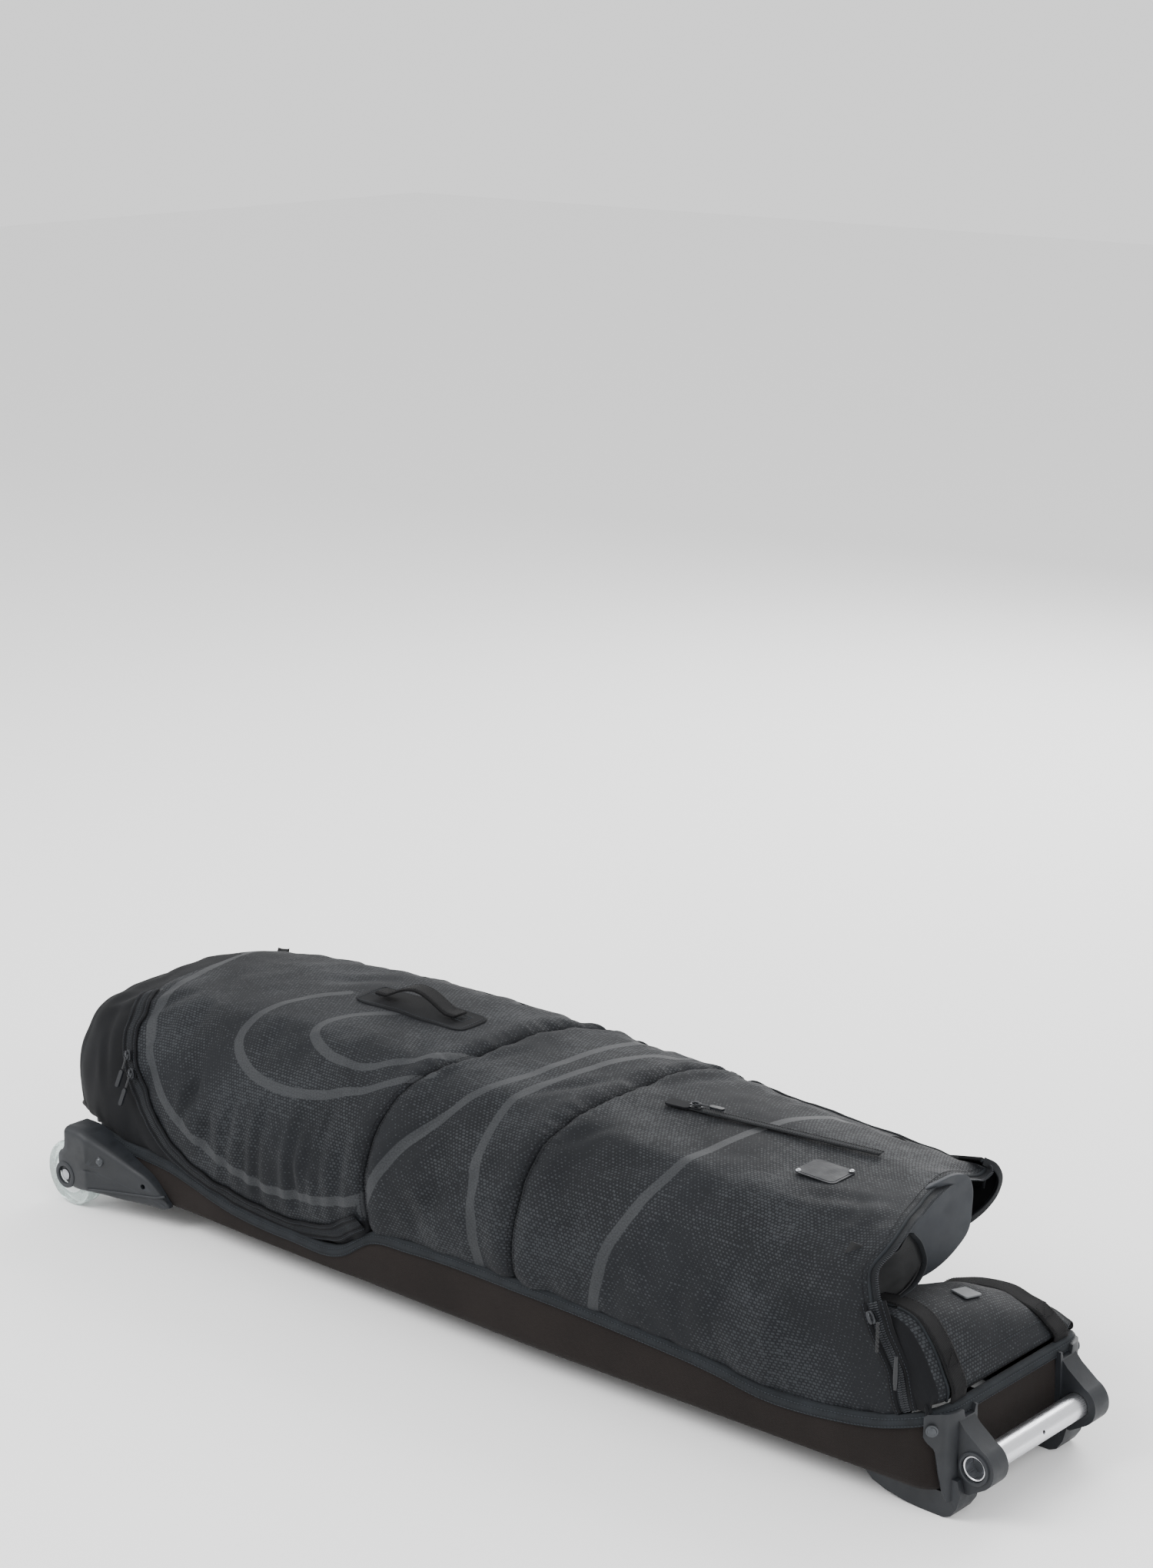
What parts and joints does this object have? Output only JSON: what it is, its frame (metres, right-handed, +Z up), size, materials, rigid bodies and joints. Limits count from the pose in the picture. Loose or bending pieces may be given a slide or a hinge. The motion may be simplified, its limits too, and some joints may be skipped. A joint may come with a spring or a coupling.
{
  "type": "wheeled sports travel bag",
  "caption": "Long padded wheeled travel bag lying packed flat: hard-bottomed tub, hinged side panel as lid, open zip mouth, moulded skids and a grab tube.",
  "frame": {"origin": "on the floor under the middle of the bag", "axes": "+X from the wheels to the grab tube, -Y the hinged side of the lid, +Z up"},
  "size_m": [1.3985, 0.382, 0.3264],
  "materials": {
    "tub_fabric": "coarse matt woven wall cloth, brown-black",
    "binding": "grey-blue edge tape with zigzag stitching",
    "board": "smooth dark grey board and foam sheet",
    "aluminium": "satin anodised tube",
    "plain_fabric": "plain black woven polyester",
    "print_fabric": "charcoal woven polyester with a fine dotted print and lighter bands",
    "zip": "coil zip tape",
    "webbing": "black twill webbing",
    "rubber": "embossed rubber plate, left blank",
    "tag_rubber": "grey rubber tag, left blank",
    "steel": "bolts, rivets and bearings",
    "slider": "black painted zip sliders and pulls",
    "cord": "speckled pull cord",
    "gloss_plastic": "glossy moulded pull grip",
    "urethane": "clear, slightly green cast urethane",
    "hub": "pale moulded wheel core",
    "moulded": "fine-grained moulded plastic"
  },
  "bodies": {
    "base": {"tub_shell": "tub_fabric", "rim_binding": "binding", "base_board": "board", "floor_rail_near": "aluminium", "floor_rail_far": "aluminium", "far_side_panel": "print_fabric", "rear_gusset": "plain_fabric", "zip_base_half": "zip", "front_gusset": "print_fabric", "strap_near": "webbing", "strap_far": "webbing", "info_tag": "tag_rubber", "divider_pad": "board", "front_zip_free_half": "zip", "wheel_housing_near": "moulded", "wheel_housing_far": "moulded", "axle_near": "steel", "axle_far": "steel", "housing_rivet_near": "steel", "housing_rivet_far": "steel", "bracket_near": "moulded", "bracket_far": "moulded", "bracket_rivet_near": "steel", "bracket_rivet_far": "steel", "grab_tube": "aluminium"},
    "lid": {"rear_panel": "plain_fabric", "pocket_panel": "print_fabric", "middle_panel": "print_fabric", "front_panel": "print_fabric", "zip_lid_half": "zip", "pocket_zip": "zip", "top_zip": "zip", "top_zip_garage": "zip", "name_plate": "rubber", "plate_stud_rear": "steel", "plate_stud_front": "steel", "handle_patch": "plain_fabric", "front_zip_chain": "zip"},
    "handle": {"carry_handle": "webbing"},
    "near_wheel": {"tyre_near": "urethane", "hub_near": "hub", "bearing_near_outer": "steel", "bearing_near_inner": "steel", "spacer_near": "steel"},
    "far_wheel": {"tyre_far": "urethane", "hub_far": "hub", "bearing_far_outer": "steel", "bearing_far_inner": "steel", "spacer_far": "steel"},
    "front_zip_slider": {"front_slider": "slider"},
    "front_zip_pull": {"front_pull_cord": "cord", "front_pull_grip": "gloss_plastic"},
    "rear_zip_slider": {"rear_slider": "slider"},
    "rear_zip_pull": {"rear_pull": "slider"},
    "top_zip_slider": {"top_slider": "slider"},
    "top_zip_pull": {"top_pull": "slider"},
    "upper_pocket_slider": {"pocket_upper_slider": "slider"},
    "upper_pocket_pull": {"pocket_upper_pull": "slider"},
    "lower_pocket_slider": {"pocket_lower_slider": "slider"},
    "lower_pocket_pull": {"pocket_lower_pull": "slider"}
  },
  "joints": [
    {"name": "lid_fold", "type": "hinge", "parent": "base", "child": "lid", "pos_m": [0, -0.156, 0.125], "axis": [1, 0, 0], "range_deg": [0, 100]},
    {"name": "handle_tilt", "type": "hinge", "parent": "lid", "child": "handle", "pos_m": [-0.241, 0.044, 0.30221], "axis": [1, 0, 0], "range_deg": [-60, 60]},
    {"name": "near_wheel_spin", "type": "hinge", "parent": "base", "child": "near_wheel", "pos_m": [-0.64, -0.1726, 0.042], "axis": [0, 1, 0], "continuous": true},
    {"name": "far_wheel_spin", "type": "hinge", "parent": "base", "child": "far_wheel", "pos_m": [-0.64, 0.1726, 0.042], "axis": [0, 1, 0], "continuous": true},
    {"name": "front_zip_slide", "type": "slide", "parent": "lid", "child": "front_zip_slider", "axis": [0.4706, 0, -0.8824], "range_m": [0, 0.078]},
    {"name": "front_pull_swing", "type": "hinge", "parent": "front_zip_slider", "child": "front_zip_pull", "pos_m": [0.56682, -0.1455, 0.20271], "axis": [0, 1, 0], "range_deg": [-40, 90]},
    {"name": "rear_zip_slide", "type": "slide", "parent": "base", "child": "rear_zip_slider", "axis": [0, 0.9206, 0.3904], "range_m": [0, 0.2]},
    {"name": "rear_pull_lift", "type": "hinge", "parent": "rear_zip_slider", "child": "rear_zip_pull", "pos_m": [-0.6978, -0.0852, 0.11158], "axis": [0, 1, 0], "range_deg": [0, 120]},
    {"name": "top_zip_slide", "type": "slide", "parent": "lid", "child": "top_zip_slider", "axis": [0.9858, 0.1671, -0.0167], "range_m": [0, 0.21]},
    {"name": "top_pull_lift", "type": "hinge", "parent": "top_zip_slider", "child": "top_zip_pull", "pos_m": [0.19986, 0.03167, 0.28863], "axis": [0.1671, -0.9859, 0], "range_deg": [0, 150]},
    {"name": "upper_pocket_slide", "type": "slide", "parent": "lid", "child": "upper_pocket_slider", "axis": [-0.5595, 0.2971, 0.7738], "range_m": [0, 0.02]},
    {"name": "upper_pocket_pull_lift", "type": "hinge", "parent": "upper_pocket_slider", "child": "upper_pocket_pull", "pos_m": [-0.55413, -0.15481, 0.21214], "axis": [-0.9979, 0.0652, 0], "range_deg": [0, 120]},
    {"name": "lower_pocket_slide", "type": "slide", "parent": "lid", "child": "lower_pocket_slider", "axis": [0.5595, -0.2971, -0.7738], "range_m": [0, 0.02]},
    {"name": "lower_pocket_pull_lift", "type": "hinge", "parent": "lower_pocket_slider", "child": "lower_pocket_pull", "pos_m": [-0.54053, -0.16203, 0.19333], "axis": [-0.9979, 0.0652, 0], "range_deg": [0, 120]}
  ]
}
